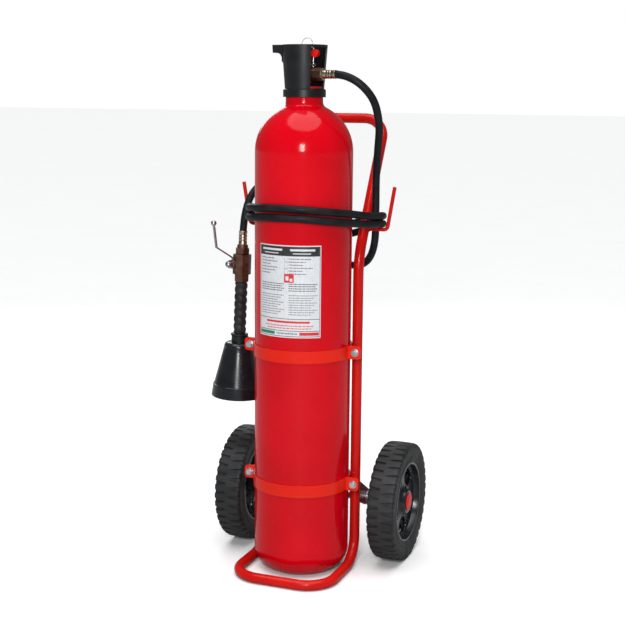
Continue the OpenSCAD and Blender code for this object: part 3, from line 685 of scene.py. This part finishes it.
def add_lever_ends():
    """The knob on the shut-off lever and the domed nut that holds the lever on its stem."""
    place = lance(STEM_DROP) @ Matrix.Rotation(math.radians(STEM_TURN), 4, "Z")
    knob = Build()
    top = place @ Matrix.Translation(at(-69, 0, 83)) @ Matrix.Rotation(math.radians(-7.5), 4, "Y")
    knob.lathe([(0, 1.75)] + arc(0, 8, 6.25, -62, 89, 26)[:-1] + [(0, 14.25)], top, 48)
    knob.piece("lever_ball", "chrome", "chrome", body="shutoff_handle", replaces=("lever_knob",))
    left = place @ Matrix.Rotation(math.radians(-90), 4, "Y")
    cap = Build().hexagon(16, 24.3, 32.3, 4.1, left)
    cap.lathe([(0, 32.2)] + [(7.2, 32.2)] + arc(0, 32.2, 7.2, 4, 88, 10)[:-1] + [(0, 39.4)], left, 48)
    cap.piece("dome_nut", "chrome", "chrome", body="shutoff_handle", replaces=("lever_cap_nut",))


add_lance()
add_grip()
add_horn()
add_lever_ends()


# ---------- trolley frame ----------

TUBE_R, RAIL_X, RAIL_Y = 11.0, 107.0, 46.0
LEAN, LEAN_BEND, LEAN_Z = math.radians(30.5), 150.0, 636.8
HOOK_Z, HOOK_TIP_Z = 735.0, 825.0
BAND_HEIGHTS = (483.3, 197.0)


def add_frame_tube():
    """One closed loop of bent tube: handle bar, rails, and the base round the cylinder's foot."""
    lean_length, corner, foot_bend, front_bend, front = 291.0, 50.0, 55.0, 62.0, -140.0
    reach = LEAN_BEND * math.tan(LEAN / 2)
    knee = LEAN_Z + reach
    top_y = RAIL_Y + (reach + lean_length) * math.sin(LEAN)
    top_z = knee + (reach + lean_length) * math.cos(LEAN)
    half = [
        ((RAIL_X, top_y, top_z), corner), ((RAIL_X, RAIL_Y, knee), LEAN_BEND),
        ((RAIL_X, RAIL_Y, TUBE_R), foot_bend), ((RAIL_X, front, TUBE_R), front_bend),
    ]
    other = [((-x, y, z), r) for (x, y, z), r in reversed(half)]
    corners = [at(*p) for p, _ in half + other]
    radii = [r * MM for _, r in half + other]
    path = evenly(rounded(corners, radii, closed=True, step=3.0), 0.006, closed=True)
    Build().sweep(path, TUBE_R * MM, 40, closed=True).piece(
        "frame_tube", "frame_paint", "red_paint",
        replaces=("rail_left", "rail_right", "handle_loop", "base_loop"))


def hook_points(side):
    """The three corners of the bent rod that holds the hose, from the rail to its tip."""
    rise = (HOOK_Z - LEAN_Z - LEAN_BEND * math.sin(LEAN)) * math.tan(LEAN)
    y = RAIL_Y + LEAN_BEND * (1 - math.cos(LEAN)) + rise
    return [at(side * x, y, z) for x, z in ((RAIL_X + 9, HOOK_Z), (158, HOOK_Z), (173, HOOK_TIP_Z))]


def add_hooks():
    rod_r, bend = 4.0, 9.0
    for side, name in ((-1, "hose_hook_left"), (1, "hose_hook_right")):
        path = evenly(rounded(hook_points(side), [0, bend * MM, 0], step=6.0), 0.002)
        Build().sweep(path, rod_r * MM, 24).piece(
            name.replace("hose_", "bent_"), "frame_paint", "red_paint", replaces=(name,))


def bead(build, centre, normal, ring_r, bead_r, seed):
    """A rippled weld bead round a joint."""
    turn = Vector(normal).to_track_quat("Z", "Y").to_matrix().to_4x4()
    place = Matrix.Translation(centre) @ turn
    steps, sides = 60, 10
    points = []
    for i in range(steps):
        a = math.tau * i / steps
        lump = noise.noise(Vector((5 * math.cos(a), 5 * math.sin(a), seed)))
        thick = bead_r * (1 + 0.22 * math.sin(19 * a + seed) + 0.12 * lump)
        for k in range(sides):
            b = math.tau * k / sides
            r = ring_r + thick * math.cos(b)
            points.append(at(r * math.cos(a), r * math.sin(a), thick * math.sin(b)))
    return build.take(points, grid_faces(steps, sides, close_rows=True), place)


def add_welds():
    welds = Build()
    for side in (-1, 1):
        start = hook_points(side)[0] + at(side * 1.4, 0, 0)
        bead(welds, start, (side, 0, 0), 4.3, 1.5, 3.0 + side)
        for height in BAND_HEIGHTS:
            for end in (-1, 1):
                line = [at(side * (RAIL_X - 4 + 1.6 * k), RAIL_Y - TUBE_R, height + end * 12.5)
                        for k in range(6)]
                ripple = [p + at(0, 0.4 * math.sin(2.1 * k), 0) for k, p in enumerate(line)]
                welds.sweep(ripple, lambda f: (1.0 + 0.9 * math.sin(math.pi * f)) * MM, 10)
    welds.piece("weld_beads", "frame_paint", "red_paint", sharp=60.0)


BOLT_X = 120.0


def add_clamp_bolts():
    """Hex bolts with domed chamfers, washers and nuts that pull the bands onto the saddles."""
    heads, washers, nuts = Build(), Build(), Build()
    for height in BAND_HEIGHTS:
        for side in (-1, 1):
            along = Matrix.Rotation(math.radians(-90), 4, "X")
            place = Matrix.Translation(at(side * BOLT_X, 0, height)) @ along
            heads.hexagon(13, -13.5, -8.2, 0, place, chamfer=0.16)
            heads.lathe([(0, -13.4), (4.6, -13.55), (4.6, -13.4), (0, -13.3)], place, 36)
            thread = [(0, -8.3), (4.0, -8.3)]
            for k in range(14):
                thread += [(3.98, 1.2 + 0.6 * k), (3.6, 1.5 + 0.6 * k)]
            thread += [(3.2, 9.8), (0, 9.8)]
            heads.lathe(thread, place, 36)
            washer = [(4, -8.15), (8.2, -8.15), (8.5, -7.85), (8.5, -6.95), (8.2, -6.65), (4, -6.65)]
            washers.lathe(washer, place, 48)
            nuts.hexagon(13, -0.35, 6.1, 4.0, place)
    heads.piece("hex_bolts", "zinc_steel", "zinc_steel", replaces=("band_bolts",))
    washers.piece("flat_washers", "zinc_steel", "zinc_steel", replaces=("band_washers",))
    nuts.piece("hex_nuts", "zinc_steel", "zinc_steel", replaces=("band_nuts",))


add_frame_tube()
add_hooks()
add_welds()
add_clamp_bolts()


# ---------- wheels ----------

WHEEL_X, AXLE_Y, WHEEL_R = 179.0, 123.0, 130.0


def wheel_place(side):
    return (Matrix.Translation(at(side * WHEEL_X, AXLE_Y, WHEEL_R))
            @ Matrix.Rotation(math.radians(side * 90), 4, "Y"))


def tyre_outline():
    """Half of the tyre's section from the middle of the tread to the bead, as (radius, offset)."""
    half = [(130, 0), (130, 2.6), (129.9, 3.4), (129.9, 10), (129.7, 16), (129.4, 22), (128.9, 25.5)]
    half += [(127.6, 28), (125.6, 29.4), (123, 30), (118, 30), (112, 29.8), (104, 29.2)]
    half += [(101, 28.5), (100, 29.0), (97.5, 29.1), (96.5, 28.5), (92, 28.3), (89.5, 27.8), (88.1, 26.5)]
    return half


def add_tyre(side, body, name):
    """Tyre with two staggered rows of wedge-shaped grooves on each half and a smooth centre line."""
    grooves, depth, edge = 40, 4.2, 0.4
    groove_start, groove_floor = 3.0, 112.0
    half = tyre_outline()
    section = [(r, -z) for r, z in reversed(half[1:])] + half
    pitch = 360 / grooves
    points, columns = [], 8
    for g in range(grooves):
        for c in range(columns):
            row_side = -1 if c < 4 else 1
            corner = c % 4
            for r, z in section:
                wedge = min(1.0, max(0.0, (abs(z) - 3.4) / 22.0))
                width = 0.55 + 1.45 * wedge
                if corner in (0, 3):
                    width += edge
                angle = (g + (0.0 if row_side < 0 else 0.5)) * pitch + (width if corner > 1 else -width)
                cut = 0.0
                if z * row_side > groove_start and r > groove_floor and corner in (1, 2):
                    fade = min(1.0, (r - groove_floor) / 12)
                    cut = depth * fade * min(1.0, (abs(z) - groove_start) / 1.2)
                rim = r - cut
                a = math.radians(angle)
                points.append(at(rim * math.cos(a), rim * math.sin(a), z))
    rows = grooves * columns
    faces = [tuple(reversed(f)) for f in grid_faces(rows, len(section), close_rows=True)]
    tyre = Build().take(points, faces, wheel_place(side))
    return tyre.piece(name, "tyre", "tyre", body=body, replaces=(name.replace("treaded_", ""),), sharp=28.0)


WINDOW_R = 56.0


def squarish(t, power):
    """A point (x, y) of a circle's outline pushed towards a square, t from 0 to 1 round it."""
    c, s = math.cos(math.tau * t), math.sin(math.tau * t)
    return math.copysign(abs(c) ** power, c), math.copysign(abs(s) ** power, s)


def window_edge(t):
    """Outline of one rim window as (radius, angle), t from 0 to 1 round it: a rounded sector."""
    x, y = squarish(t, 0.62)
    return WINDOW_R + 17.5 * x, y * (22.0 + 2.5 * x)


def add_rim(side, body, name):
    """Moulded rim: rounded barrel lips, a dished web with five rimmed windows, and a stepped hub."""
    place = wheel_place(side)
    rim = Build()
    barrel = [(83, -26.4), (83.8, -27), (87.2, -27), (88, -26.2), (88, 26.2), (87.2, 27), (83.8, 27)]
    barrel += [(82.6, 26), (81.5, 18), (80.5, 14.5), (78, 13.2), (76.5, 13.0), (76.5, 7)]
    barrel += [(79, 6), (81.5, 4), (82.8, 0)]
    rim.lathe(barrel, place, 120)
    hub = [(16, -28), (22.6, -28), (24, -26.6), (24, 6), (30, 6.2), (36.2, 6.6), (36.2, 13.2), (33, 14.2)]
    hub += [(29, 17), (27, 22), (25.6, 25.2), (24.6, 26), (16, 26)]
    rim.lathe(hub, place, 96)
    around = 40
    windows = 5
    for w in range(windows):
        middle = 360 / windows * w
        outer, inner = [], []
        for k in range(around):
            t = k / around
            r, a = window_edge(t)
            outer.append((r, math.radians(middle + a)))
            x, y = squarish(t, 0.25)
            inner.append((56.3 + 20.5 * x, math.radians(middle + 36.0 * y)))
        rings = []
        for ring, grow, z in ((inner, 0, 13), (outer, 2.6, 13.0), (outer, 1.6, 14.0), (outer, 0.5, 13.6),
                              (outer, 0, 12.0), (outer, 0, 6.5), (outer, 2.6, 6.3), (inner, 0, 6.3)):
            row = []
            for k, (r, a) in enumerate(ring):
                cx = WINDOW_R * math.cos(math.radians(middle))
                cy = WINDOW_R * math.sin(math.radians(middle))
                x, y = r * math.cos(a), r * math.sin(a)
                away = math.hypot(x - cx, y - cy)
                f = (away + grow) / away
                row.append(at(cx + (x - cx) * f, cy + (y - cy) * f, z))
            rings.append(row)
        points = [p for row in rings for p in row]
        rim.take(points, grid_faces(len(rings), around, close_rows=True), place)
        for spread in (-8.0, 8.0):
            a = math.radians(middle + 36 + spread)
            line = [at(r * math.cos(a), r * math.sin(a), -4) for r in (23, 40, 60, 82.5)]
            ribs = Build().sweep(evenly([place @ p for p in line], 0.01), 2.0 * MM, 10)
            rim.take(ribs.points, ribs.faces)
    return rim.piece(name, "black_gloss", "black_plastic", body=body,
                     replaces=(name.replace("windowed_", ""),), sharp=38.0)


def add_hub_cap(side, body, name):
    """Push-on cap with a rolled rim and a shallow dome."""
    dome_r, dome_z, rise = 14.6, 28.0, 1.9
    outline = [(0, 24.5), (15.8, 24.5), (15.8, 26.1), (18.6, 26.1), (19.4, 26.9), (19.3, 27.8), (18.6, 28.3),
               (16.8, 28.4), (15.6, 27.9), (dome_r, dome_z)]
    for k in range(1, 8):
        a = math.pi / 2 * k / 8
        outline.append((dome_r * math.cos(a), dome_z + rise * math.sin(a)))
    outline += [(0, dome_z + rise)]
    Build().lathe(outline, wheel_place(side), 72).piece(
        name, "red_plastic", "red_plastic", body=body, replaces=(name.replace("domed_", ""),))


for wheel_side, word in ((-1, "left"), (1, "right")):
    add_tyre(wheel_side, f"wheel_{word}", f"treaded_tyre_{word}")
    add_rim(wheel_side, f"wheel_{word}", f"windowed_rim_{word}")
    add_hub_cap(wheel_side, f"wheel_{word}", f"domed_hub_cap_{word}")


# ---------- label ----------

LABEL_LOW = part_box("label")[0].z / MM
LABEL_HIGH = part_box("label")[1].z / MM
LABEL_HALF_ANGLE, LABEL_TURN = 39.9, 2.7
LABEL_R = CYLINDER_R + 0.34


def print_patch(build, left, right, low, high, lift=0.03):
    """A thin printed patch: left and right are shares of the label's width, low and high of its height."""
    start, span = LABEL_TURN - 90 - LABEL_HALF_ANGLE, 2 * LABEL_HALF_ANGLE
    steps = max(1, math.ceil((right - left) * 40))
    points = []
    for radius in (LABEL_R + lift, LABEL_R - 0.02):
        for k in range(steps + 1):
            a = math.radians(start + span * (left + (right - left) * k / steps))
            for share in (low, high):
                z = LABEL_LOW + (LABEL_HIGH - LABEL_LOW) * share
                points.append(at(radius * math.cos(a), radius * math.sin(a), z))
    last, back = 2 * steps, 2 * (steps + 1)
    faces = []
    for k in range(steps):
        a, b = 2 * k, 2 * (k + 1)
        faces += [(a, b, b + 1, a + 1), (back + a, back + a + 1, back + b + 1, back + b)]
        faces += [(a, back + a, back + b, b), (a + 1, b + 1, back + b + 1, back + a + 1)]
    faces += [(0, 1, back + 1, back), (last, back + last, back + last + 1, last + 1)]
    return build.take(points, faces)


def word_row(build, left, right, middle, height, seed):
    """A row of short bars that stands for a line of small print."""
    place, k = left, 0
    while place < right - 0.008:
        width = 0.012 + 0.022 * (0.5 + 0.5 * math.sin(12.9898 * (seed + 1) + 78.233 * k))
        print_patch(build, place, min(place + width, right), middle - height / 2, middle + height / 2)
        place += width + 0.007
        k += 1


def add_label_print():
    black, grey, red, green, white = Build(), Build(), Build(), Build(), Build()
    print_patch(black, 0.02, 0.98, 0.885, 0.985)
    for edge in (0.012, 0.982):
        print_patch(black, edge, edge + 0.006, 0.015, 0.985)
    for level in (0.985, 0.075, 0.015, 0.205):
        print_patch(black, 0.012, 0.988, level - 0.003, level + 0.003)
    for left in (0.07, 0.55):
        print_patch(white, left, left + 0.36, 0.940, 0.962, 0.06)
        print_patch(white, left + 0.04, left + 0.30, 0.908, 0.918, 0.06)
    for column, (left, right) in enumerate(((0.05, 0.46), (0.53, 0.95))):
        for line in range(6):
            end = left + (right - left) * (0.62 + 0.2 * math.sin(2.3 * line + column))
            word_row(grey, left, end, 0.855 - 0.032 * line, 0.011, line + 7 * column)
        for line in range(4):
            end = right - 0.03 * (line % 2)
            word_row(black, left, end, 0.585 - 0.024 * line, 0.009, 20 + line + 7 * column)
        for line in range(9):
            end = right - 0.05 * (line % 3)
            word_row(grey, left, end, 0.462 - 0.026 * line, 0.008, 40 + line + 9 * column)
    for row in range(3):
        middle = 0.835 - 0.07 * row
        print_patch(grey, 0.465, 0.468, middle - 0.03, middle + 0.03)
        print_patch(grey, 0.515, 0.518, middle - 0.03, middle + 0.03)
        print_patch(grey, 0.478, 0.505, middle - 0.016, middle - 0.008)
    print_patch(red, 0.46, 0.605, 0.60, 0.695)
    print_patch(white, 0.482, 0.528, 0.622, 0.668, 0.06)
    print_patch(white, 0.545, 0.585, 0.612, 0.645, 0.06)
    print_patch(red, 0.16, 0.84, 0.160, 0.182)
    word_row(red, 0.14, 0.90, 0.130, 0.010, 61)
    word_row(red, 0.18, 0.86, 0.102, 0.010, 62)
    print_patch(green, 0.025, 0.31, 0.028, 0.062)
    word_row(grey, 0.34, 0.66, 0.045, 0.014, 70)
    print_patch(red, 0.69, 0.975, 0.028, 0.062)
    for build, ink, name in ((black, "black_ink", "print_black"), (grey, "grey_ink", "print_grey"),
                             (red, "red_ink", "print_red"), (green, "green_ink", "print_green"),
                             (white, "label_film", "print_white")):
        build.piece(name, ink, "label_film")


add_label_print()


# ---------- floor and light ----------


def add_floor():
    half = 60.0
    corners = [(-half, -half, 0), (half, -half, 0), (half, half, 0), (-half, half, 0)]
    mesh = bpy.data.meshes.new("floor")
    mesh.from_pydata(corners, [], [(0, 1, 2, 3)])
    mesh.materials.append(floor_look())
    floor = bpy.data.objects.new("floor", mesh)
    bpy.context.scene.collection.objects.link(floor)


def add_softbox(name, place, target, size, power):
    data = bpy.data.lights.new(name, "AREA")
    data.shape = "RECTANGLE"
    data.size, data.size_y = size
    data.energy = power
    light = bpy.data.objects.new(name, data)
    light.location = place
    light.rotation_euler = (Vector(target) - Vector(place)).to_track_quat("-Z", "Y").to_euler()
    bpy.context.scene.collection.objects.link(light)


def add_sky_panel(strength, spread):
    """Very wide, very distant overhead light: it falls evenly over the whole floor."""
    data = bpy.data.lights.new("overhead", "SUN")
    data.energy = strength
    data.angle = math.radians(spread)
    light = bpy.data.objects.new("overhead", data)
    light.rotation_euler = (math.radians(8), math.radians(3), 0)
    bpy.context.scene.collection.objects.link(light)


def add_world():
    """Pale backdrop for the camera; dimmer light from all round for the surfaces."""
    world = bpy.data.worlds.new("studio")
    world.use_nodes = True
    tree = world.node_tree
    surround = tree.nodes["Background"]
    surround.inputs["Color"].default_value = (0.96, 0.98, 1.0, 1.0)
    surround.inputs["Strength"].default_value = 0.16
    backdrop = tree.nodes.new("ShaderNodeBackground")
    backdrop.inputs["Color"].default_value = (1.0, 1.0, 1.0, 1.0)
    seen = tree.nodes.new("ShaderNodeLightPath")
    choose = tree.nodes.new("ShaderNodeMixShader")
    tree.links.new(seen.outputs["Is Camera Ray"], choose.inputs[0])
    tree.links.new(surround.outputs[0], choose.inputs[1])
    tree.links.new(backdrop.outputs[0], choose.inputs[2])
    tree.links.new(choose.outputs[0], tree.nodes["World Output"].inputs["Surface"])
    bpy.context.scene.world = world


add_floor()
add_world()
add_softbox("key", (0.85, -2.7, 1.5), (0, 0, 0.55), (0.5, 0.8), 58)
add_softbox("back", (-1.4, 2.3, 1.8), (0, 0, 0.6), (1.4, 1.2), 16)
add_sky_panel(2.9, 60)
